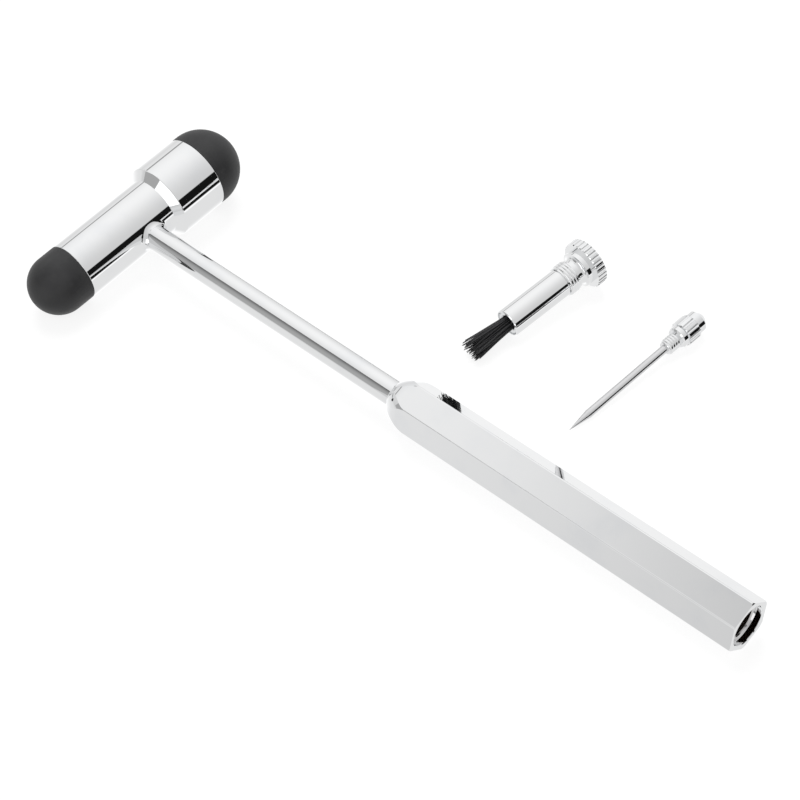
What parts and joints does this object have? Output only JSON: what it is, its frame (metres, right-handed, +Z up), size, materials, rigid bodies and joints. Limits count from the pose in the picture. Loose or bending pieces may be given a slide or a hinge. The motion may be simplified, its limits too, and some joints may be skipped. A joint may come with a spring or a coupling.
{
  "type": "reflex hammer",
  "caption": "Chromed neurological reflex hammer with rubber tips and a hexagonal handle. Its screw-in brush and needle lie beside it, and their threaded holes are empty.",
  "frame": {"origin": "on the table, at the middle of the box around the hammer, the brush and the needle", "axes": "+X along the hammer's shaft towards the end of the handle, +Y along the head towards the large tip, +Z up"},
  "size_m": [0.1854, 0.0926, 0.0193],
  "materials": {
    "chrome": "polished chrome plating",
    "black_rubber": "smooth satin rubber",
    "bright_metal": "bright drawn metal",
    "black_nylon": "satin nylon fibre",
    "polished_steel": "ground and polished steel"
  },
  "bodies": {
    "root": {"head": "chrome", "large_tip": "black_rubber", "small_tip": "black_rubber", "shaft": "chrome", "shaft_braze": "chrome", "handle": "chrome", "brush_knob": "chrome", "brush_tube": "chrome", "brush_ferrule": "bright_metal", "brush_bristles": "black_nylon", "needle_shank": "polished_steel", "needle_knob": "chrome"}
  },
  "joints": []
}
